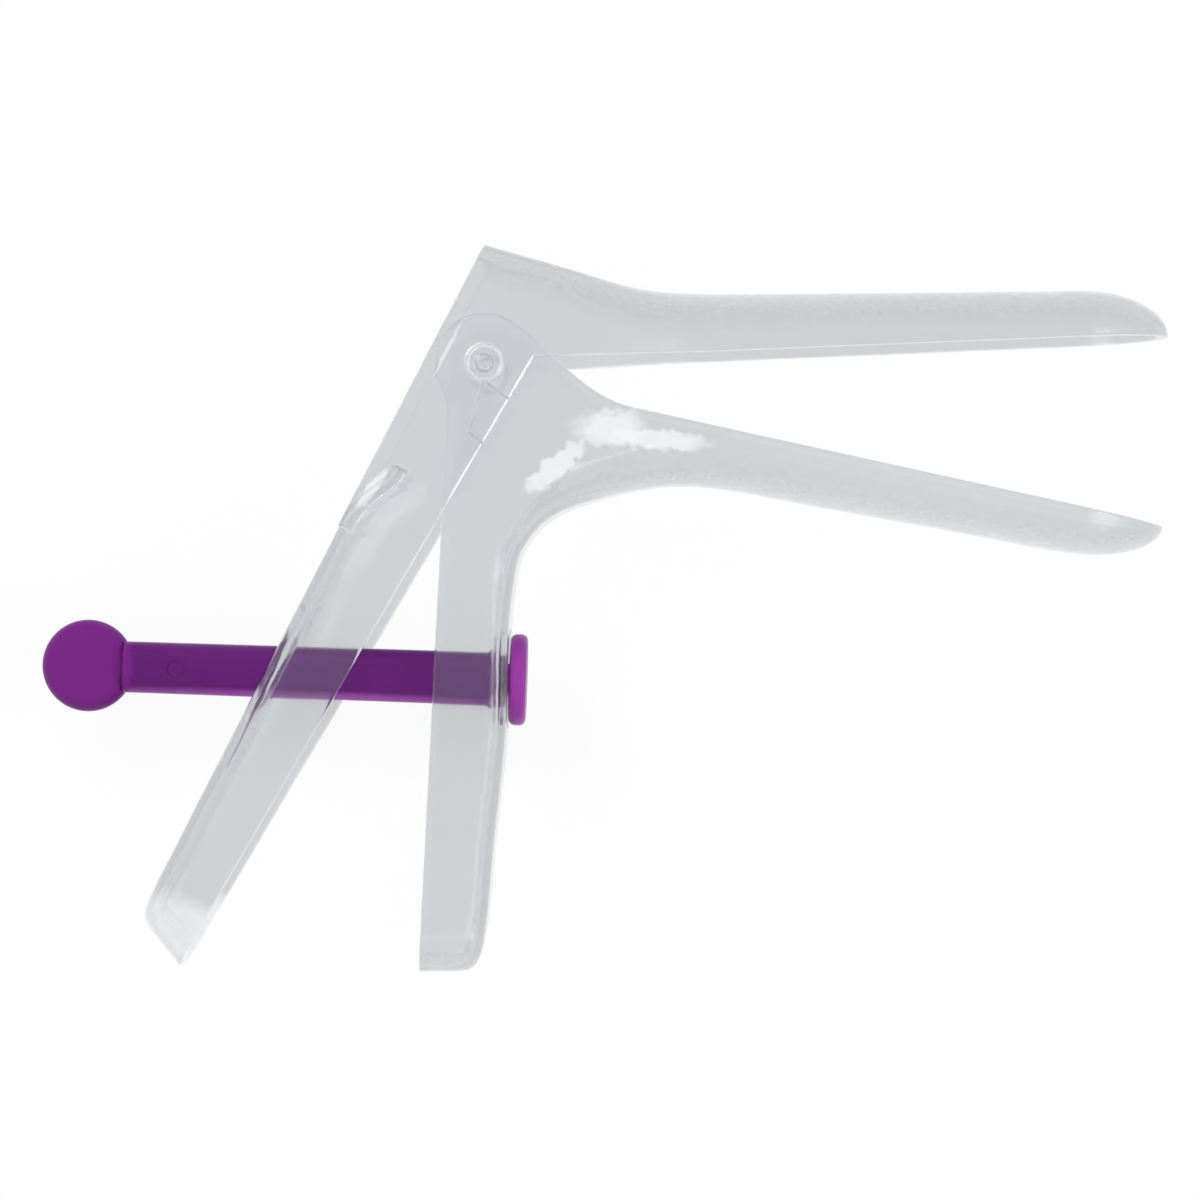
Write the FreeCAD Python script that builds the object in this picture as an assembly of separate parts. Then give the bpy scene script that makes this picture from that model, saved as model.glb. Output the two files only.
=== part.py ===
import FreeCAD, Part
import math
import os

# Bivalve speculum in clear moulded plastic, lying on its side, with a coloured lock bar.
# X runs along the blades, Y from the handles up to the upper blade, Z across the width.
# The origin is on the hinge axis, in the outer face of the hinge ear that it lies on.
# Lengths are in millimetres and angles in degrees.

# Walls and running gaps
wall = 1.8
ear_gap = 0.3
hinge_gap = 0.05
seat_gap = 0.15
slot_gap = 0.5
slot_side_gap = 0.2
slot_corner = 1.2

# Whole width at the hinge ears, and the blades' width
ear_half_width = 18.0
blade_half_width = 13.5
blade_tip_half_width = 13.0

# How far the blades' elliptic corners reach, as shares of the half width and of the depth
blade_round_across = 0.93
blade_round_deep = 0.62
handle_corner = 3.2

# Upper blade, in its own frame with X along its rim
upper_tilt = 2.35
upper_rim = 0.6
upper_length = 115.6
upper_tip_round = 14.6
apex_x = 1.5
crown_at_apex = 19.4
crown_slope = 18.4
crown_blend = 1.6
funnel_corner = 5.0
upper_depth_root = 10.2
upper_depth_tip = 8.4
upper_flare_start = 12.0
upper_flare_end = 40.0

# Rear handle, one moulding with the upper blade
rear_rake = 29.8
rear_back_offset = 8.95
rear_length = 109.3
rear_depth_top = 15.8
rear_front_taper = 3.0
rear_end_half_width = 12.5
rear_end_round = 7.0
rear_end_slant = 23.7
rear_end_lift = 0.8
rear_slant_start = 80.0
port_lip = 22.0
ear_foot = 35.0
port_lip_set_in = 3.4
ear_lap = 5.4
ear_top = -12.0

# Lead-in groove on the inner face of each upper ear, from the front edge to the hinge seat
guide_depth = 0.8
guide_start = 2.6
guide_width = 8.9
guide_floor_start = 1.2
guide_floor_end = 3.1
guide_slant = 10.0

# Lower blade, in its own frame with X along its rim
lower_tilt = -12.35
lower_rim = -1.8
lower_length = 117.7
lower_tip_round = 15.7
lower_depth_root = 9.7
lower_depth_tip = 7.6
lower_flare_start = 12.0
lower_flare_end = 40.0

# Front handle, one moulding with the lower blade
front_wall_x = 3.6
front_length = 101.9
front_depth = 12.2
front_taper_start = 25.0
front_end_half_width = 10.4
front_end_round = 6.4
front_lower_lean = 6.0
front_toe = 2.6
rear_edge_x = -5.7
rear_edge_lean = 3.15
rear_edge_top = 7.0
front_bend_below_bar = 9.3
throat_radius = 14.0
throat_set_in = 1.2
throat_level = 37.0
throat_bulge = 0.119
throat_bulge_power = 1.4
lobe_radius = 8.2
lobe_left = 200.0
lobe_right = 58.0
lobe_rise_start = 25.0
lobe_rise_pull = 8.0
lobe_side_pull = 7.0

# Hinge studs on the lower ears, turning in the upper ears
stud_radius = 3.05
stud_core_radius = 1.5
stud_chamfer = 0.4
stud_end_wall = 1.1

# Lock bar, square to the front handle's wall
bar_level = 52.7
bar_lean = 1.9
bar_height = 9.0
bar_height_at_head = 8.6
bar_thickness = 7.6
bar_edge = 2.6
bar_length = 65.2
head_radius = 7.8
head_thickness = 5.0
head_set_out = 6.3
flange_radius = 7.75
flange_thickness = 2.9
flange_rim = 1.1
neck_radius = 2.65
collar_radius = 5.2
collar_length = 1.8
front_slot_height = 17.0
tooth_pitch = 2.5
tooth_depth = 1.2
tooth_width = 4.6
tooth_start = 9.0
tooth_end = 56.0
mark_radius = 1.5
mark_depth = 0.2
mark_near = 5.9
mark_far = 56.2

# Travel of the hinge, from the pose in which it is modelled
closing_angle = 13.0
opening_angle = 16.0

lower_ear_half_width = ear_half_width - wall - ear_gap

# Working lengths: how far lofts run past their rims and sides, and cutters past the part
skirt = 4.0
side_spare = 0.6
past = 400.0
slot_reach = 8.0

# Share of a quarter ellipse's reach that its curve's inner poles stand off
ellipse_pull = 0.5523


def vec(x, y, z=0.0):
    return FreeCAD.Vector(x, y, z)


def along(angle, length=1.0):
    return vec(math.cos(math.radians(angle)) * length, math.sin(math.radians(angle)) * length)


def smooth(start, end, value):
    """Ease from 0 at start to 1 at end, with level ends."""
    share = min(max((value - start) / (end - start), 0.0), 1.0)
    return share * share * (3.0 - 2.0 * share)


def mix(low, high, share):
    return low + (high - low) * share


def section(crown, angle, half_width, reach, round_across, round_deep):
    """Closed channel section: two sides, two elliptic corners and a crown through the crown point.

    The angle is the way from the crown to the rim, and reach is how far the sides go that way."""
    deep = along(angle)
    across = vec(0, 0, 1)

    def at(depth, side):
        return crown + deep * depth + across * side

    def corner(sign):
        edge = sign * half_width
        flat = sign * (half_width - round_across)
        bend = sign * round_across
        curve = Part.BezierCurve()
        curve.setPoles([
            at(round_deep, edge),
            at(round_deep * (1.0 - ellipse_pull), edge),
            at(0.0, flat + bend * ellipse_pull),
            at(0.0, flat),
        ])
        return curve.toShape()

    flat = half_width - round_across
    edges = [
        Part.makeLine(at(reach, half_width), at(round_deep, half_width)),
        corner(1.0),
        Part.makeLine(at(0.0, flat), at(0.0, -flat)),
        corner(-1.0),
        Part.makeLine(at(round_deep, -half_width), at(reach, -half_width)),
        Part.makeLine(at(reach, -half_width), at(reach, half_width)),
    ]
    return Part.Wire(Part.__sortEdges__(edges))


def loft(stations):
    return Part.makeLoft([section(*station) for station in stations], True, False, False, 5)


def slab(half_width):
    return Part.makeBox(2 * past, 2 * past, 2 * half_width, vec(-past, -past, -half_width))


def turned(shape, angle):
    copy = shape.copy()
    copy.rotate(vec(0, 0, 0), vec(0, 0, 1), angle)
    return copy


# Upper blade with its funnel
def upper_crown(x):
    """Height of the crown above the hinge: the funnel's slope, eased into the blade's gentle taper."""
    slope_line = crown_at_apex - math.tan(math.radians(crown_slope)) * (x - apex_x)
    share = (x - upper_flare_end) / (upper_length - upper_tip_round - upper_flare_end)
    blade_line = upper_rim + mix(upper_depth_root, upper_depth_tip, share)
    gap = slope_line - blade_line
    return blade_line + (gap + math.hypot(gap, crown_blend)) / 2


def upper_width(x):
    root = ear_half_width + side_spare
    blade = mix(blade_half_width, blade_tip_half_width, smooth(upper_flare_end, upper_length, x))
    return mix(root, blade, smooth(upper_flare_start, upper_flare_end, x))


def upper_stations(inset):
    """Stations of the upper blade, from behind the port to the tip, for a skin set in by inset."""
    stations = []

    def add(x, shrink):
        depth = (upper_crown(x) - upper_rim - inset) * shrink
        half_width = (upper_width(x) - inset) * shrink
        flare = smooth(upper_flare_start, upper_flare_end, x)
        across = mix(funnel_corner - inset, blade_round_across * half_width, flare)
        deep = mix(funnel_corner - inset, blade_round_deep * depth, flare)
        crown = vec(x, upper_rim + depth)
        stations.append((crown, -90.0, half_width, depth + skirt * shrink + inset, across, deep))

    for x in (-7.0, 2.0, 10.0, 17.0, 23.0, 29.0, 35.0, 42.0, 55.0, 72.0, 88.0):
        add(x, 1.0)
    tip_start = upper_length - upper_tip_round
    for turn in (0.0, 17.0, 34.0, 50.0, 64.0, 76.0, 85.0):
        x = tip_start + (upper_tip_round - inset) * math.sin(math.radians(turn))
        add(x, math.cos(math.radians(turn)))
    return stations


# Rear handle, placed by its distance down the handle and its depth forward of the hinge axis
handle_way = -90.0 - rear_rake


def rear_point(down, forward):
    return along(handle_way, down) + along(handle_way + 90.0, forward)


def rear_front(down):
    """Depth of the front edge at a distance down the handle."""
    return rear_depth_top - rear_back_offset - math.tan(math.radians(rear_front_taper)) * (down + 6.0)


def rear_stations(inset):
    stations = []
    end = rear_length - inset
    round_start = rear_length - rear_end_round

    def add(down, slant, narrow, lift):
        lip = port_lip_set_in * (1.0 - smooth(port_lip, ear_foot, down)) ** 1.5
        share = (down - ear_foot) / (round_start - ear_foot)
        half_width = mix(ear_half_width, rear_end_half_width, max(share, 0.0)) - inset - narrow
        crown = rear_point(down, -rear_back_offset + lip + lift + inset)
        reach = rear_depth_top + skirt + inset
        corner = handle_corner - inset
        stations.append((crown, handle_way + 90.0 - slant, half_width, reach, corner, corner))

    for share in (0.0, 0.35, 0.7, 1.0):
        add(mix(port_lip, ear_foot, share), 0.0, 0.0, 0.0)
    for share in (0.12, 0.37, 0.62, 0.84):
        down = mix(ear_foot, round_start, share)
        add(down, rear_end_slant * smooth(rear_slant_start, round_start, down), 0.0, 0.0)
    for turn in (0.0, 30.0, 60.0, 88.0):
        down = round_start + (end - round_start) * math.sin(math.radians(turn))
        curl = 1.0 - math.cos(math.radians(turn))
        add(down, rear_end_slant, (rear_end_round - inset) * curl, rear_end_lift * curl)
    return stations


# Lower blade, throat and front handle
def lower_point(x, y):
    return along(lower_tilt, x) + along(lower_tilt + 90.0, y)


def lower_width(x):
    blade = mix(blade_half_width, blade_tip_half_width, smooth(lower_flare_end, lower_length, x))
    return mix(lower_ear_half_width + 0.5, blade, smooth(lower_flare_start, lower_flare_end, x))


def front_width(down):
    share = (down - front_taper_start) / (front_length - front_end_round - front_taper_start)
    return mix(lower_ear_half_width, front_end_half_width, share)


def front_wall(down):
    """X of the front wall: upright to the bar down to its flange, then leaning back to the toe."""
    seat_end = bar_level + front_bend_below_bar
    upper_part = front_wall_x - math.tan(math.radians(bar_lean)) * (down - bar_level)
    lean = math.tan(math.radians(front_lower_lean)) - math.tan(math.radians(bar_lean))
    return upper_part - lean * max(down - seat_end, 0.0)


def lower_stations(inset):
    stations = []
    way = lower_tilt + 90.0
    tip_start = lower_length - lower_tip_round

    def depth_at(x):
        return mix(lower_depth_root, lower_depth_tip, (x - lower_flare_end) / (tip_start - lower_flare_end))

    def blade(x, shrink):
        depth = (depth_at(x) - inset) * shrink
        half_width = (lower_width(x) - inset) * shrink
        crown = lower_point(x, lower_rim - depth)
        reach = depth + skirt * shrink + inset
        across = blade_round_across * half_width
        stations.append((crown, way, half_width, reach, across, blade_round_deep * depth))

    for turn in (85.0, 76.0, 64.0, 50.0, 34.0, 17.0, 0.0):
        x = tip_start + (lower_tip_round - inset) * math.sin(math.radians(turn))
        blade(x, math.cos(math.radians(turn)))
    for x in (88.0, 72.0, 56.0, 44.0):
        blade(x, 1.0)

    centre = vec(front_wall_x + throat_set_in + throat_radius, -throat_level)
    for angle, out, corner, half_width, reach in (
        (82.0, 34.2, 11.2, 14.2, 18.0),
        (92.0, 24.6, 9.5, 15.2, 26.0),
    ):
        bulge = throat_bulge * (lower_flare_end - out) ** throat_bulge_power
        foot = lower_point(out, lower_rim - lower_depth_root - bulge)
        stations.append((
            foot + along(angle, inset),
            angle,
            half_width - inset,
            reach,
            corner - inset,
            0.6 * corner - inset * 0.5,
        ))
    for angle, corner, half_width, reach in (
        (112.0, 7.0, lower_ear_half_width + 0.5, 40.0),
        (132.0, 5.5, lower_ear_half_width + 0.5, 42.0),
        (152.0, 4.5, lower_ear_half_width + 0.3, 32.0),
        (170.0, 4.0, front_width(throat_level), 20.0),
    ):
        foot = centre + along(angle, throat_radius)
        stations.append((
            foot + along(angle, inset),
            angle,
            half_width - inset,
            reach,
            corner - inset,
            corner - inset,
        ))

    round_start = front_length - front_end_round
    level = 180.0 - bar_lean

    def handle(down, angle, narrow, lift):
        crown = vec(front_wall(down) - lift - inset, -down)
        reach = front_depth + skirt + inset
        corner = handle_corner - inset
        stations.append((crown, angle, front_width(down) - narrow - inset, reach, corner, corner))

    bend = bar_level + front_bend_below_bar
    for down in (mix(throat_level, bar_level, 0.45), bar_level, bend):
        handle(down, level, 0.0, 0.0)
    for share in (0.3, 0.66):
        handle(mix(bend, round_start, share), level, 0.0, 0.0)
    for turn in (0.0, 30.0, 60.0, 88.0):
        down = round_start + (front_end_round - inset) * math.sin(math.radians(turn))
        curl = 1.0 - math.cos(math.radians(turn))
        handle(down, 180.0, (front_end_round - inset) * curl, (front_toe - 0.3 * inset) * curl)
    return stations


def shell(stations, half_width):
    """Skin between the outside and the hollow, both cut to flat sides where they are widest."""
    outside = loft(stations(0.0)).common(slab(half_width))
    inside = loft(stations(wall)).common(slab(half_width - wall))
    return outside.cut(inside)


def both_sides(shape):
    """The shape together with its mirror image across the middle plane."""
    return shape.fuse(shape.mirror(vec(0, 0, 0), vec(0, 0, 1)))


def side_profile(edges, low, high):
    """Upright prism on a closed outline of edges, from one height to another."""
    face = Part.Face(Part.Wire(edges))
    face.translate(vec(0, 0, low))
    return face.extrude(vec(0, 0, high - low))


def outline(points):
    return Part.makePolygon(points + [points[0]]).Edges


def lock_slot_half_width():
    """Half of a slot's width: the bar turns in it, so it clears the bar's corners all the way round."""
    up = bar_height / 2 - bar_edge
    across = bar_thickness / 2 - bar_edge
    return math.hypot(up, across) + bar_edge + slot_side_gap


def rear_slot_ends():
    """Top and bottom of the rear slot, so that the bar passes at both ends of the hinge's travel."""
    rest = rear_rake - upper_tilt - bar_lean
    lean = math.radians(bar_lean)
    level = bar_level * math.cos(lean) - front_wall_x * math.sin(lean)
    half = bar_height / 2
    closed = math.radians(rest + closing_angle)
    opened = math.radians(rest - opening_angle)
    inside = rear_back_offset - wall
    bottom = (level + half + rear_back_offset * math.sin(closed)) / math.cos(closed) + slot_gap
    top = (level - half + inside * math.sin(opened)) / math.cos(opened) - slot_gap
    return top, bottom


def slot_cutter(length):
    """Slot with rounded corners, running along X and cut through along Y."""
    half_width = lock_slot_half_width()
    corner = vec(-length / 2, -slot_reach / 2, -half_width)
    block = Part.makeBox(length, slot_reach, 2 * half_width, corner)
    corners = [edge for edge in block.Edges if abs(edge.tangentAt(0).y) > 0.9]
    return block.makeFillet(slot_corner, corners)


# Upper piece: blade, funnel, hinge ears and rear handle in one moulding
def upper_trim():
    """Side outline that gives the upper piece its rim, its front edge and its back line."""
    front_top = rear_point(0.0, rear_front(0.0))
    front_low = rear_point(rear_length, rear_front(rear_length))
    run = (upper_rim - front_top.y) / (front_low.y - front_top.y)
    corner = front_top + (front_low - front_top) * run
    return side_profile(outline([
        vec(upper_length + past, upper_rim),
        corner,
        corner + (front_low - front_top) * 3,
        rear_point(rear_length * 3, -rear_back_offset),
        rear_point(-past, -rear_back_offset),
        vec(upper_length + past, past),
    ]), -past, past)


def upper_ear():
    """Flat ear plate on one side, square to the hinge, from the funnel to the top of the back wall."""
    reach = upper_flare_start + 1.0
    return side_profile(outline([
        vec(reach, upper_crown(reach) - ear_lap),
        vec(reach, upper_rim),
        rear_point(0.0, rear_depth_top),
        rear_point(ear_foot, rear_depth_top),
        rear_point(ear_foot, -rear_back_offset),
        rear_point(ear_top, -rear_back_offset),
    ]), ear_half_width - wall, ear_half_width)


def guide_groove():
    """Block that sinks the lead-in grooves into both ears' inner faces, leaving the outer faces whole."""
    slant = math.tan(math.radians(guide_slant))
    end = guide_start + guide_width
    floor = ear_half_width - wall + guide_depth
    return side_profile(outline([
        rear_point(guide_start, guide_floor_start),
        rear_point(guide_start + slant * (rear_depth_top - guide_floor_start), rear_depth_top),
        rear_point(end + slant * (rear_depth_top - guide_floor_end), rear_depth_top),
        rear_point(end, guide_floor_end),
    ]), -floor, floor)


def upper_piece():
    blade = shell(upper_stations, ear_half_width)
    handle = shell(rear_stations, ear_half_width)
    whole = blade.fuse(handle).fuse(both_sides(upper_ear())).common(upper_trim())
    seat = Part.makeCylinder(stud_radius + hinge_gap, 2 * past, vec(0, 0, -past))
    top, bottom = rear_slot_ends()
    slot = turned(slot_cutter(bottom - top), handle_way)
    slot.translate(rear_point((top + bottom) / 2, -rear_back_offset))
    whole = whole.cut(seat).cut(guide_groove()).cut(slot)
    return turned(whole, upper_tilt)


# Lower piece: blade, throat, hinge ears with their studs, and front handle in one moulding
def lower_trim():
    """Side outline: the blade's rim, the rounded ear about the hinge and the front handle's back edge."""
    lean = math.tan(math.radians(rear_edge_lean))
    rim_far = lower_point(lower_length + past, lower_rim)
    rim_near = lower_point(lobe_rise_start, lower_rim)
    right = along(lobe_right, lobe_radius)
    left = along(lobe_left, lobe_radius)
    rise = Part.BezierCurve()
    rise.setPoles([
        rim_near,
        lower_point(lobe_rise_start - lobe_rise_pull, lower_rim),
        right + along(lobe_right - 90.0, lobe_side_pull),
        right,
    ])
    lobe = Part.Arc(right, along((lobe_right + lobe_left) / 2, lobe_radius), left)
    edge_top = vec(rear_edge_x - lean * rear_edge_top, -rear_edge_top)
    edge_low = vec(rear_edge_x - lean * past, -past)
    far_low = vec(past, -past)
    return side_profile([
        Part.makeLine(rim_far, rim_near),
        rise.toShape(),
        lobe.toShape(),
        Part.makeLine(left, edge_top),
        Part.makeLine(edge_top, edge_low),
        Part.makeLine(edge_low, far_low),
        Part.makeLine(far_low, rim_far),
    ], -past, past)


def hinge_stud():
    """Stud on one lower ear, its chamfered end level with the upper ear's outer face."""
    foot = lower_ear_half_width - wall / 2
    shoulder = ear_half_width - stud_chamfer
    post = Part.makeCylinder(stud_radius, shoulder - foot, vec(0, 0, foot))
    nose = Part.makeCone(stud_radius, stud_radius - stud_chamfer, stud_chamfer, vec(0, 0, shoulder))
    return post.fuse(nose)


def hinge_core():
    """Blind core of one stud, open to the inside of the ear."""
    foot = lower_ear_half_width - 2 * wall
    top = ear_half_width - stud_end_wall
    return Part.makeCylinder(stud_core_radius, top - foot, vec(0, 0, foot))


def lower_piece():
    whole = shell(lower_stations, lower_ear_half_width).common(lower_trim())
    whole = whole.fuse(both_sides(hinge_stud())).cut(both_sides(hinge_core()))
    slot = turned(slot_cutter(front_slot_height), 90.0 - bar_lean)
    slot.translate(vec(front_wall_x, -bar_level))
    return whole.cut(slot)


# Lock bar, along X with the outer face of the front wall at X = 0
def bar_section(place, height):
    """Square-cornered outline of the bar at one place along it."""
    up = height / 2
    across = bar_thickness / 2
    return Part.makePolygon([
        vec(place, up, across),
        vec(place, -up, across),
        vec(place, -up, -across),
        vec(place, up, -across),
        vec(place, up, across),
    ])


def rack_cutter():
    """Row of saw teeth cut into the underside of the bar."""
    count = int((tooth_end - tooth_start) / tooth_pitch)
    skin = -bar_thickness / 2
    clear = skin - tooth_depth
    points = [vec(-tooth_end, 0, clear)]
    for tooth in range(count):
        place = -tooth_end + tooth * tooth_pitch
        points.append(vec(place, 0, skin))
        points.append(vec(place, 0, skin + tooth_depth))
    place = -tooth_end + count * tooth_pitch
    points.append(vec(place, 0, skin))
    points.append(vec(place, 0, clear))
    face = Part.Face(Part.makePolygon(points + [points[0]]))
    face.translate(vec(0, -tooth_width / 2, 0))
    return face.extrude(vec(0, tooth_width, 0))


def ejector_mark(place):
    """Shallow round mark that a mould's ejector pin leaves on the bar's upper side."""
    return Part.makeCylinder(mark_radius, mark_depth, vec(-place, 0, bar_thickness / 2 - mark_depth))


def lock_bar():
    shoulder = -wall - seat_gap
    body_end = shoulder - collar_length
    at_head = bar_section(-bar_length, bar_height_at_head)
    at_collar = bar_section(body_end, bar_height)
    body = Part.makeLoft([at_head, at_collar], True, True)
    long_edges = [edge for edge in body.Edges if abs(edge.tangentAt(edge.FirstParameter).x) > 0.9]
    body = body.makeFillet(bar_edge, long_edges)
    along_x = vec(1, 0, 0)
    collar = Part.makeCone(bar_height / 2, collar_radius, collar_length, vec(body_end, 0), along_x)
    neck_foot = shoulder - collar_length / 2
    neck = Part.makeCylinder(neck_radius, flange_thickness / 2 - neck_foot, vec(neck_foot, 0), along_x)
    flange = Part.makeCylinder(flange_radius, flange_thickness, vec(seat_gap, 0), along_x)
    flange = flange.makeFillet(flange_rim, [edge for edge in flange.Edges if edge.Closed])
    middle = vec(-bar_length - head_set_out, 0)
    rim = head_thickness / 2
    disc = Part.makeCylinder(head_radius - rim, head_thickness, middle - vec(0, 0, rim))
    bead = Part.makeTorus(head_radius - rim, rim, middle)
    whole = body.fuse([collar, neck, flange, disc, bead])
    whole = whole.cut([rack_cutter(), ejector_mark(mark_near), ejector_mark(mark_far)])
    whole = turned(whole.removeSplitter(), -bar_lean)
    whole.translate(vec(front_wall_x, -bar_level))
    return whole


# Each piece is raised so that the ear it lies on is at height 0
nodes = {
    "upper_blade": upper_piece(),
    "lower_blade": lower_piece(),
    "lock_bar": lock_bar(),
}
os.makedirs("parts", exist_ok=True)
for name, shape in nodes.items():
    shape.translate(vec(0, 0, ear_half_width))
    shape.exportStep("parts/" + name + ".step")
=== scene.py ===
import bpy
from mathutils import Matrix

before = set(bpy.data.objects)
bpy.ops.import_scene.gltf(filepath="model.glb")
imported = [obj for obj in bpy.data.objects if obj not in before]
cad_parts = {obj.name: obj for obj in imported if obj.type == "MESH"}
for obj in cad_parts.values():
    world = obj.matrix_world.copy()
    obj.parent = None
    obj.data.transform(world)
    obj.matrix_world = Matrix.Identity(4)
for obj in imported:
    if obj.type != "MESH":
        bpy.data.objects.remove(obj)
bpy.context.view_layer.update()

import math
import bpy

# Table, camera and light: the speculum lies on its side on a pale floor and is seen from
# straight above. The camera stands 578 mm over its middle plane, close enough that near
# edges and far edges part from each other.
MIDDLE_PLANE = 0.018
TABLE_TOP = -0.0004
TABLE_REACH = 3.0
TABLE_COLOUR = (0.93, 0.93, 0.93, 1.0)
TABLE_GLOW_SHARE = 0.88
CAMERA_PLACE = (0.0191, -0.0392, 0.596)
FIELD_WIDTH = 0.204
SENSOR_WIDTH = 36.0
WHITE = (1.0, 1.0, 1.0, 1.0)
WORLD_LIGHT = 0.62
WORLD_SHOWN = 1.0

camera_data = bpy.data.cameras.new("photo_camera")
camera_data.sensor_width = SENSOR_WIDTH
camera_data.lens = SENSOR_WIDTH * (CAMERA_PLACE[2] - MIDDLE_PLANE) / FIELD_WIDTH
camera_data.clip_start = 0.01
camera_data.clip_end = 10.0
camera = bpy.data.objects.new("photo_camera", camera_data)
camera.location = CAMERA_PLACE
bpy.context.scene.collection.objects.link(camera)
bpy.context.scene.camera = camera
bpy.context.scene.view_settings.view_transform = "Standard"


def math_step(nodes, links, operation, *values):
    """Adds a Math node, feeds it numbers or sockets in their order, and gives its result."""
    step = nodes.new("ShaderNodeMath")
    step.operation = operation
    for socket, value in zip(step.inputs, values):
        if isinstance(value, float):
            socket.default_value = value
        else:
            links.new(value, socket)
    return step.outputs["Value"]


def seen_ray(nodes, links):
    """1 for a ray from the camera, in a reflection or through clear plastic, and 0 for light itself."""
    rays = nodes.new("ShaderNodeLightPath").outputs
    first = math_step(nodes, links, "MAXIMUM", rays["Is Camera Ray"], rays["Is Glossy Ray"])
    return math_step(nodes, links, "MAXIMUM", first, rays["Is Transmission Ray"])


world = bpy.data.worlds.new("studio")
bpy.context.scene.world = world
world.use_nodes = True
nodes, links = world.node_tree.nodes, world.node_tree.links
nodes.clear()
lit = nodes.new("ShaderNodeBackground")
lit.inputs["Color"].default_value = WHITE
lit.inputs["Strength"].default_value = WORLD_LIGHT
shown = nodes.new("ShaderNodeBackground")
shown.inputs["Color"].default_value = WHITE
shown.inputs["Strength"].default_value = WORLD_SHOWN
mixed = nodes.new("ShaderNodeMixShader")
out = nodes.new("ShaderNodeOutputWorld")
links.new(seen_ray(nodes, links), mixed.inputs["Fac"])
links.new(lit.outputs[0], mixed.inputs[1])
links.new(shown.outputs[0], mixed.inputs[2])
links.new(mixed.outputs[0], out.inputs["Surface"])

corners = [(x * TABLE_REACH, y * TABLE_REACH, TABLE_TOP) for x, y in ((-1, -1), (1, -1), (1, 1), (-1, 1))]
table_mesh = bpy.data.meshes.new("table")
table_mesh.from_pydata(corners, [], [(0, 1, 2, 3)])
table = bpy.data.objects.new("table", table_mesh)
bpy.context.scene.collection.objects.link(table)
sheet = bpy.data.materials.new("pale_sheet")
sheet.use_nodes = True
nodes, links = sheet.node_tree.nodes, sheet.node_tree.links
nodes.clear()
matt = nodes.new("ShaderNodeBsdfDiffuse")
matt.inputs["Color"].default_value = TABLE_COLOUR
glow = nodes.new("ShaderNodeEmission")
glow.inputs["Strength"].default_value = 1.0
mixed = nodes.new("ShaderNodeMixShader")
out = nodes.new("ShaderNodeOutputMaterial")
glowing = math_step(nodes, links, "MULTIPLY", seen_ray(nodes, links), TABLE_GLOW_SHARE)
links.new(glowing, mixed.inputs["Fac"])
links.new(matt.outputs[0], mixed.inputs[1])
links.new(glow.outputs[0], mixed.inputs[2])
links.new(mixed.outputs[0], out.inputs["Surface"])
table_mesh.materials.append(sheet)

for name, place, turn, size, power in (
    ("key_softbox", (-0.35, 0.35, 0.75), (-25, -25, 0), 0.40, 3.2),
    ("fill_softbox", (0.55, -0.15, 0.60), (14, 42, 0), 0.45, 2.0),
):
    lamp = bpy.data.lights.new(name, "AREA")
    lamp.shape = "SQUARE"
    lamp.size = size
    lamp.energy = power
    softbox = bpy.data.objects.new(name, lamp)
    softbox.location = place
    softbox.rotation_euler = [math.radians(angle) for angle in turn]
    softbox.visible_glossy = False
    bpy.context.scene.collection.objects.link(softbox)


# Clear mouldings: two pieces of clear polystyrene, each injected in one shot. The upper one
# carries the upper blade and the rear handle, the lower one the lower blade, the hinge studs
# and the front handle.
JOIN_WITHIN = 0.000002
SMOOTH_UNDER_DEG = 32.0
CLEAR_TINT = (0.396, 0.409, 0.433)
CLEAR_ROUGHNESS = 0.10
CLEAR_INDEX = 1.57
SHEEN_TINT = (0.5, 0.5, 0.52, 1.0)
INNER_TINT = (0.986, 0.988, 0.991, 1.0)
SHADE_TINT = (0.93, 0.93, 0.935, 1.0)
# Painted highlights: pale lines along the clear plastic's edges
EDGE_HIGHLIGHT_COLOUR = (0.95, 0.955, 0.96, 1.0)
EDGE_HIGHLIGHT_WIDTH = 0.00025
EDGE_HIGHLIGHT_COVER = 0.6
CORNER_ROUNDING = 0.0007
FIRST_SURFACE = 0.5
MOST_REFLECTIONS = 2.5
MOST_SURFACES = 9.5
# The colour of the painted highlights and painted lightening on the clear plastic
PAINTED_LIGHT_PALE = (0.93, 0.935, 0.94)
EAR_FACE = 0.036
NEAR_WALL = 0.030
NEAR_WALL_DEPTH = 0.02
RIGHT_THROUGH = 0.06
EAR_EDGE_TURN = 59.5


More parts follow.
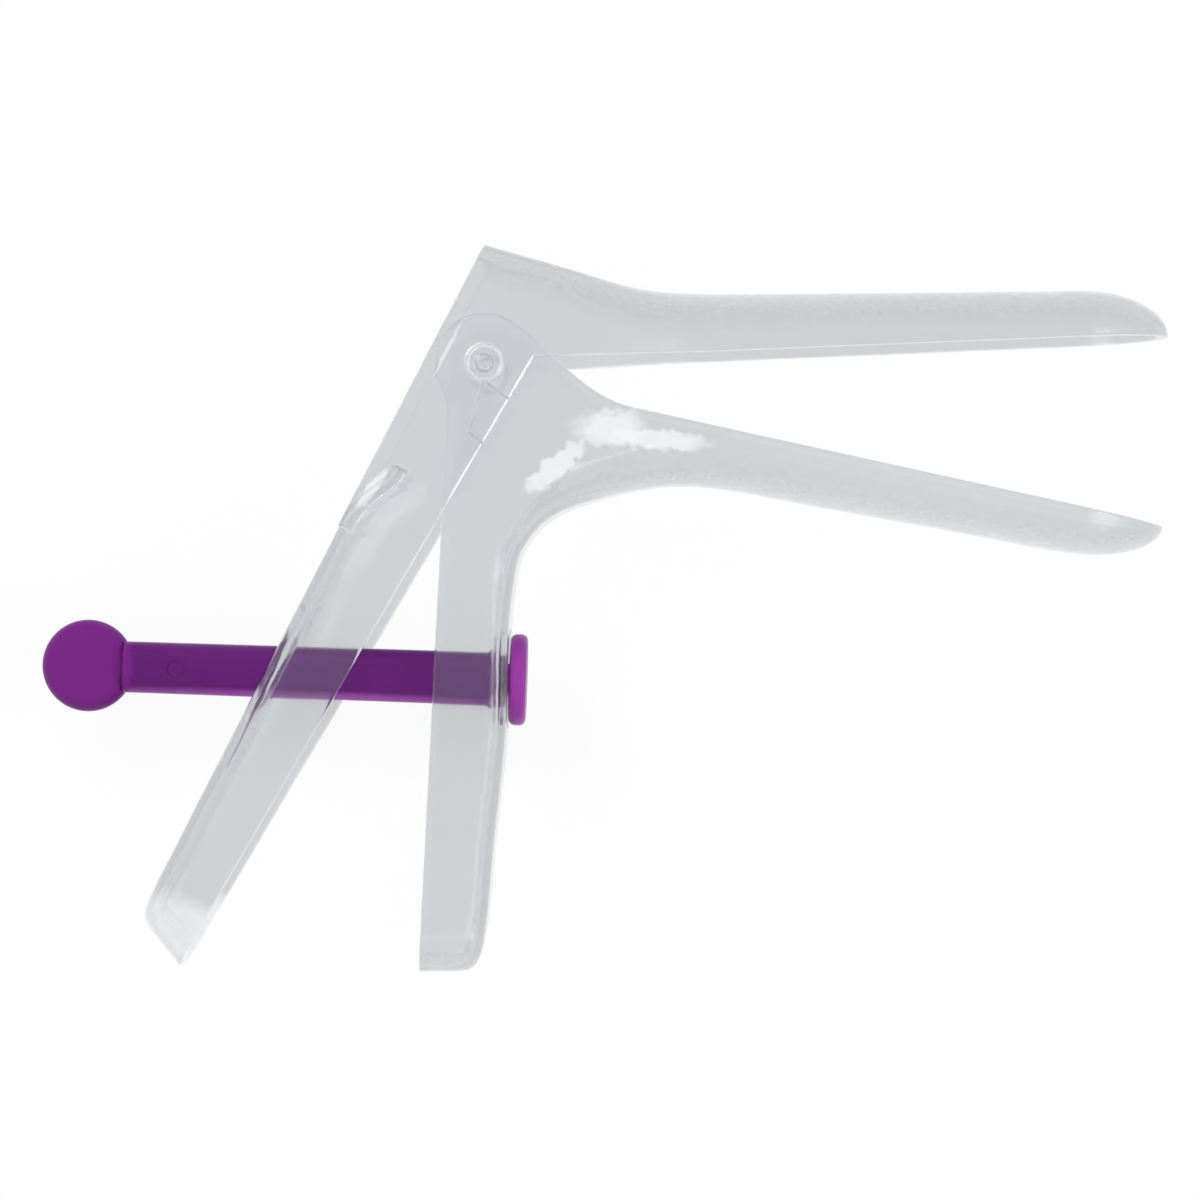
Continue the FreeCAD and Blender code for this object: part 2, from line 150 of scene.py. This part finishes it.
def smooth_skin():
    """Joins a node's loose triangles and shades its faces smooth where they meet at a gentle angle."""
    group = bpy.data.node_groups.new("smooth_skin", "GeometryNodeTree")
    group.interface.new_socket("Geometry", in_out="INPUT", socket_type="NodeSocketGeometry")
    group.interface.new_socket("Geometry", in_out="OUTPUT", socket_type="NodeSocketGeometry")
    nodes, links = group.nodes, group.links
    start = nodes.new("NodeGroupInput")
    end = nodes.new("NodeGroupOutput")
    join = nodes.new("GeometryNodeMergeByDistance")
    join.inputs["Distance"].default_value = JOIN_WITHIN
    faces = nodes.new("GeometryNodeSetShadeSmooth")
    faces.domain = "FACE"
    edges = nodes.new("GeometryNodeSetShadeSmooth")
    edges.domain = "EDGE"
    angle = nodes.new("GeometryNodeInputMeshEdgeAngle")
    gentle = nodes.new("FunctionNodeCompare")
    gentle.data_type = "FLOAT"
    gentle.operation = "LESS_EQUAL"
    gentle.inputs[1].default_value = math.radians(SMOOTH_UNDER_DEG)
    links.new(start.outputs[0], join.inputs["Geometry"])
    links.new(join.outputs["Geometry"], faces.inputs["Geometry"])
    links.new(faces.outputs["Geometry"], edges.inputs["Geometry"])
    links.new(angle.outputs["Unsigned Angle"], gentle.inputs[0])
    links.new(gentle.outputs[0], edges.inputs["Shade Smooth"])
    links.new(edges.outputs["Geometry"], end.inputs[0])
    return group


def soft_spot():
    """Node group: 1 in the heart of an ellipsoid about a centre, easing to 0 at its skin.

    The ellipsoid can be turned about Z, be hollow so that only a ring is left, and be ragged: then
    a noise pushes its skin in and out."""
    group = bpy.data.node_groups.new("soft_spot", "ShaderNodeTree")
    for socket in ("Place", "Centre", "Reach"):
        group.interface.new_socket(socket, in_out="INPUT", socket_type="NodeSocketVector")
    for socket in ("Turn", "Hollow", "Ragged", "Softness"):
        group.interface.new_socket(socket, in_out="INPUT", socket_type="NodeSocketFloat")
    group.interface.new_socket("Share", in_out="OUTPUT", socket_type="NodeSocketFloat")
    nodes, links = group.nodes, group.links
    given = nodes.new("NodeGroupInput").outputs
    end = nodes.new("NodeGroupOutput")

    def vector_step(operation, first, second=None):
        step = nodes.new("ShaderNodeVectorMath")
        step.operation = operation
        links.new(first, step.inputs[0])
        if second is not None:
            links.new(second, step.inputs["Scale" if operation == "SCALE" else 1])
        return step.outputs["Value" if operation == "LENGTH" else "Vector"]

    noise = nodes.new("ShaderNodeTexNoise")
    noise.inputs["Scale"].default_value = 650.0
    noise.inputs["Detail"].default_value = 1.0
    links.new(given["Place"], noise.inputs["Vector"])
    level = nodes.new("ShaderNodeVectorMath")
    level.operation = "SUBTRACT"
    level.inputs[1].default_value = (0.5, 0.5, 0.5)
    links.new(noise.outputs["Color"], level.inputs[0])
    pushed = vector_step("SCALE", level.outputs["Vector"], given["Ragged"])
    away = vector_step("SUBTRACT", given["Place"], given["Centre"])
    turned = nodes.new("ShaderNodeVectorRotate")
    turned.rotation_type = "Z_AXIS"
    links.new(vector_step("ADD", away, pushed), turned.inputs["Vector"])
    links.new(math_step(nodes, links, "MULTIPLY", given["Turn"], -1.0), turned.inputs["Angle"])
    far = vector_step("LENGTH", vector_step("DIVIDE", turned.outputs["Vector"], given["Reach"]))
    aside = math_step(nodes, links, "ABSOLUTE", math_step(nodes, links, "SUBTRACT", far, given["Hollow"]))
    solid = math_step(nodes, links, "SUBTRACT", 1.0, given["Hollow"])
    fade = nodes.new("ShaderNodeMapRange")
    fade.interpolation_type = "SMOOTHSTEP"
    fade.inputs["From Max"].default_value = 1.0
    fade.inputs["To Min"].default_value = 1.0
    fade.inputs["To Max"].default_value = 0.0
    links.new(math_step(nodes, links, "SUBTRACT", 1.0, given["Softness"]), fade.inputs["From Min"])
    links.new(math_step(nodes, links, "DIVIDE", aside, solid), fade.inputs["Value"])
    links.new(fade.outputs["Result"], end.inputs["Share"])
    return group


def spot(centre, reach, cover, turn=0.0, hollow=0.0, ragged=0.0, softness=0.6, colour=PAINTED_LIGHT_PALE):
    """One spot: the sockets that place and shape it, its colour, and how far it covers the base.

    Reach is along the spot's own X, Y and Z, and turn is about Z in degrees."""
    sockets = {
        "Centre": centre, "Reach": reach, "Turn": math.radians(turn),
        "Hollow": hollow, "Ragged": ragged, "Softness": softness}
    return sockets, colour, cover


def spotted(nodes, links, base, spots):
    """Colour that starts as a base colour, or a colour output, and is mixed over in each spot."""
    where = nodes.new("ShaderNodeTexCoord")
    for sockets, colour, cover in spots:
        shape = nodes.new("ShaderNodeGroup")
        shape.node_tree = spot_group
        for socket, value in sockets.items():
            shape.inputs[socket].default_value = value
        links.new(where.outputs["Object"], shape.inputs["Place"])
        over = nodes.new("ShaderNodeMix")
        over.data_type = "RGBA"
        over.inputs["B"].default_value = (*colour, 1.0)
        links.new(math_step(nodes, links, "MULTIPLY", shape.outputs["Share"], cover), over.inputs["Factor"])
        if isinstance(base, tuple):
            over.inputs["A"].default_value = (*base, 1.0)
        else:
            links.new(base, over.inputs["A"])
        base = over.outputs["Result"]
    return base


def clear_plastic(name, spots):
    """Clear moulded plastic with painted highlights as pale lines along its edges, a slow waviness, and
    paler spots of painted light.

    Its grey lies mostly in the first surface that is met, so that walls behind each other darken
    little. Light for the table, and a path that has been through many walls, goes straight on."""
    material = bpy.data.materials.new(name)
    material.use_nodes = True
    nodes, links = material.node_tree.nodes, material.node_tree.links
    skin = nodes["Principled BSDF"]

    # A painted edge highlight shows where a normal rounded over the edge leaves the surface's own
    edge = nodes.new("ShaderNodeBevel")
    edge.samples = 6
    edge.inputs["Radius"].default_value = EDGE_HIGHLIGHT_WIDTH
    surface = nodes.new("ShaderNodeNewGeometry")
    match = nodes.new("ShaderNodeVectorMath")
    match.operation = "DOT_PRODUCT"
    links.new(edge.outputs["Normal"], match.inputs[0])
    links.new(surface.outputs["Normal"], match.inputs[1])
    edge_highlight = nodes.new("ShaderNodeMapRange")
    edge_highlight.inputs["From Min"].default_value = 0.90
    edge_highlight.inputs["From Max"].default_value = 0.985
    edge_highlight.inputs["To Min"].default_value = EDGE_HIGHLIGHT_COVER
    edge_highlight.inputs["To Max"].default_value = 0.0
    links.new(match.outputs["Value"], edge_highlight.inputs["Value"])
    edge_highlighted = nodes.new("ShaderNodeMix")
    edge_highlighted.data_type = "RGBA"
    edge_highlighted.inputs["B"].default_value = EDGE_HIGHLIGHT_COLOUR
    links.new(edge_highlight.outputs["Result"], edge_highlighted.inputs["Factor"])
    links.new(spotted(nodes, links, CLEAR_TINT, spots), edge_highlighted.inputs["A"])
    links.new(edge_highlighted.outputs["Result"], skin.inputs["Base Color"])
    skin.inputs["Specular Tint"].default_value = SHEEN_TINT
    skin.inputs["Roughness"].default_value = CLEAR_ROUGHNESS
    skin.inputs["IOR"].default_value = CLEAR_INDEX
    skin.inputs["Transmission Weight"].default_value = 1.0
    inner = nodes.new("ShaderNodeBsdfGlass")
    inner.inputs["Color"].default_value = INNER_TINT
    inner.inputs["Roughness"].default_value = CLEAR_ROUGHNESS
    inner.inputs["IOR"].default_value = CLEAR_INDEX

    # The waviness of the moulded walls, over corners that are a little rounded
    place = nodes.new("ShaderNodeTexCoord")
    wave = nodes.new("ShaderNodeTexNoise")
    wave.inputs["Scale"].default_value = 55.0
    wave.inputs["Detail"].default_value = 1.5
    bump = nodes.new("ShaderNodeBump")
    bump.inputs["Strength"].default_value = 0.06
    bump.inputs["Distance"].default_value = 0.002
    rounded = nodes.new("ShaderNodeBevel")
    rounded.samples = 8
    rounded.inputs["Radius"].default_value = CORNER_ROUNDING
    links.new(place.outputs["Object"], wave.inputs["Vector"])
    links.new(wave.outputs["Fac"], bump.inputs["Height"])
    links.new(rounded.outputs["Normal"], bump.inputs["Normal"])
    links.new(bump.outputs["Normal"], skin.inputs["Normal"])
    links.new(bump.outputs["Normal"], inner.inputs["Normal"])

    # Which of the three shaders a ray meets depends on how far it has come
    rays = nodes.new("ShaderNodeLightPath").outputs
    inside = math_step(nodes, links, "GREATER_THAN", rays["Transmission Depth"], FIRST_SURFACE)
    walls = nodes.new("ShaderNodeMixShader")
    links.new(inside, walls.inputs["Fac"])
    links.new(skin.outputs["BSDF"], walls.inputs[1])
    links.new(inner.outputs["BSDF"], walls.inputs[2])
    through = nodes.new("ShaderNodeBsdfTransparent")
    through.inputs["Color"].default_value = SHADE_TINT
    mirrored = math_step(nodes, links, "GREATER_THAN", rays["Glossy Depth"], MOST_REFLECTIONS)
    far_in = math_step(nodes, links, "GREATER_THAN", rays["Ray Depth"], MOST_SURFACES)
    straight = math_step(nodes, links, "MAXIMUM", mirrored, far_in)
    mixed = nodes.new("ShaderNodeMixShader")
    links.new(math_step(nodes, links, "MAXIMUM", rays["Is Shadow Ray"], straight), mixed.inputs["Fac"])
    links.new(walls.outputs["Shader"], mixed.inputs[1])
    links.new(through.outputs["BSDF"], mixed.inputs[2])
    links.new(mixed.outputs["Shader"], nodes["Material Output"].inputs["Surface"])
    return material


smoothing = smooth_skin()
spot_group = soft_spot()
# A painted ring of highlights round each hinge stud
stud_highlight_ring = spot((0.0, 0.0, EAR_FACE), (0.0031, 0.0031, 0.005), 0.55, hollow=0.90, ragged=0.0014)
# Pale spots painted into the clear plastic's colour: painted highlights on rims, edges, ends, the throat and
# round the studs, and a lighter blade
painted_light = {
    "upper_blade": [
        # Painted highlight on the slanted end of the rear handle
        spot((-0.0521, -0.0973, MIDDLE_PLANE), (0.020, 0.0105, RIGHT_THROUGH), 0.58,
             turn=-21.0, ragged=0.0004, softness=0.4),
        # Painted highlight on the lip of the port in the rear handle
        spot((-0.0186, -0.0210, NEAR_WALL), (0.0053, 0.0011, NEAR_WALL_DEPTH), 0.7,
             turn=52.0, ragged=0.0009, softness=0.4),
        # A painted stroke of light beside the hinge
        spot((-0.0061, 0.0020, EAR_FACE), (0.0064, 0.0004, 0.005), 0.5, turn=63.0, ragged=0.0006),
        # Painted highlight on the rear handle's rim where it crosses the lock bar
        spot((-0.0206, -0.0500, NEAR_WALL), (0.0036, 0.0003, NEAR_WALL_DEPTH), 0.9, turn=60.0),
        # Painted highlights along the front edge of the hinge ear, above and below its groove
        spot((0.0062, -0.0021, EAR_FACE), (0.0048, 0.0003, 0.004), 0.4, turn=EAR_EDGE_TURN, ragged=0.0002),
        spot((-0.0038, -0.0190, EAR_FACE), (0.0068, 0.0003, 0.004), 0.35, turn=EAR_EDGE_TURN, ragged=0.0002),
        stud_highlight_ring,
    ],
    "lower_blade": [
        # Painted highlight on the bend of the throat, in three patches from the handle to the blade
        spot((0.0117, -0.0172, MIDDLE_PLANE), (0.0078, 0.0023, RIGHT_THROUGH), 0.72,
             turn=41.0, ragged=0.0022, softness=0.35),
        spot((0.0208, -0.0108, MIDDLE_PLANE), (0.0078, 0.0040, RIGHT_THROUGH), 0.70,
             turn=2.0, ragged=0.0026, softness=0.55),
        spot((0.0290, -0.0126, MIDDLE_PLANE), (0.0100, 0.0021, RIGHT_THROUGH), 0.70,
             turn=-4.0, ragged=0.0020, softness=0.45),
        # The whole blade, painted a little lighter than the handle
        spot((0.0800, -0.0220, MIDDLE_PLANE), (0.0700, 0.0340, RIGHT_THROUGH), 0.09,
             turn=-12.0, softness=0.9),
        # A faint painted highlight on the square end of the front handle
        spot((-0.0050, -0.1045, MIDDLE_PLANE), (0.0300, 0.0105, RIGHT_THROUGH), 0.07, softness=0.15),
        # Painted highlight on the front handle's back rim, below the hinge
        spot((-0.0069, -0.0210, NEAR_WALL), (0.0036, 0.0003, NEAR_WALL_DEPTH), 0.8, turn=90.0),
        stud_highlight_ring,
    ],
}
for name, spots in painted_light.items():
    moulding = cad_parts[name]
    moulding.data.materials.clear()
    moulding.data.materials.append(clear_plastic("clear_" + name, spots))
    moulding.modifiers.new("smooth_skin", "NODES").node_group = smoothing
    # Flat sides keep their own normals, and only the small faces of the corners bend
    moulding.modifiers.new("flat_sides", "WEIGHTED_NORMAL").keep_sharp = True


# Lock bar: one solid purple moulding. Its neck sits in the front handle's slot between a
# flange and a collar, its toothed shank runs through the rear handle, and a flat round disc
# at its end takes the thumb.
SHANK_DEEP = (0.094, 0.0066, 0.128, 1.0)
SHANK_LIGHT = (0.120, 0.0085, 0.158, 1.0)
DISC_PURPLE = (0.160, 0.0120, 0.198)
# Painted highlights: the flange's rim and the bar's low edge, paler where light falls on them
FLANGE_LIT_PURPLE = (0.300, 0.0400, 0.330)
LOW_EDGE_LIT_PURPLE = (0.360, 0.0750, 0.430)
BAR_TURN = -1.9
PURPLE_ROUGHNESS = 0.34
PURPLE_INDEX = 1.5
PURPLE_SHEEN = 0.16


def purple_plastic():
    """Satin purple plastic, deepest in the shank and paler in the disc, with painted highlights on the
    flange and the low edge.

    The flange's rim is painted pale where light from the side falls on it, and the low edge where the
    table's bounce light falls on it. A fine grain lies over it all."""
    material = bpy.data.materials.new("purple_moulding")
    material.use_nodes = True
    nodes, links = material.node_tree.nodes, material.node_tree.links
    skin = nodes["Principled BSDF"]
    skin.inputs["Roughness"].default_value = PURPLE_ROUGHNESS
    skin.inputs["IOR"].default_value = PURPLE_INDEX
    skin.inputs["Specular IOR Level"].default_value = PURPLE_SHEEN
    place = nodes.new("ShaderNodeTexCoord")
    cloud = nodes.new("ShaderNodeTexNoise")
    cloud.inputs["Scale"].default_value = 70.0
    cloud.inputs["Detail"].default_value = 2.0
    shade = nodes.new("ShaderNodeValToRGB")
    deep, light = shade.color_ramp.elements
    deep.position = 0.3
    deep.color = SHANK_DEEP
    light.position = 0.75
    light.color = SHANK_LIGHT
    links.new(place.outputs["Object"], cloud.inputs["Vector"])
    links.new(cloud.outputs["Fac"], shade.inputs["Fac"])
    # Painted light: the bar's low edge paler where the table's bounce light falls
    low_edge_light = spot((-0.0300, -0.0558, MIDDLE_PLANE), (0.0600, 0.0017, 0.010), 0.9,
                    turn=BAR_TURN, ragged=0.0002, softness=0.7, colour=LOW_EDGE_LIT_PURPLE)
    disc = spot((-0.0677, -0.0503, MIDDLE_PLANE), (0.0090, 0.0090, 0.010), 1.0,
                softness=0.1, colour=DISC_PURPLE)
    # Painted highlight: the flange's rim paler where light from the side falls
    flange = spot((0.0056, -0.0528, MIDDLE_PLANE), (0.0022, 0.0120, 0.012), 1.0,
                  turn=BAR_TURN, softness=0.1, colour=FLANGE_LIT_PURPLE)
    purple = spotted(nodes, links, shade.outputs["Color"], [low_edge_light, disc, flange])
    links.new(purple, skin.inputs["Base Color"])
    grain = nodes.new("ShaderNodeTexNoise")
    grain.inputs["Scale"].default_value = 1800.0
    bump = nodes.new("ShaderNodeBump")
    bump.inputs["Strength"].default_value = 0.05
    bump.inputs["Distance"].default_value = 0.0003
    links.new(place.outputs["Object"], grain.inputs["Vector"])
    links.new(grain.outputs["Fac"], bump.inputs["Height"])
    links.new(bump.outputs["Normal"], skin.inputs["Normal"])
    return material


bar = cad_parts["lock_bar"]
bar.data.materials.clear()
bar.data.materials.append(purple_plastic())
bar.modifiers.new("smooth_skin", "NODES").node_group = smoothing
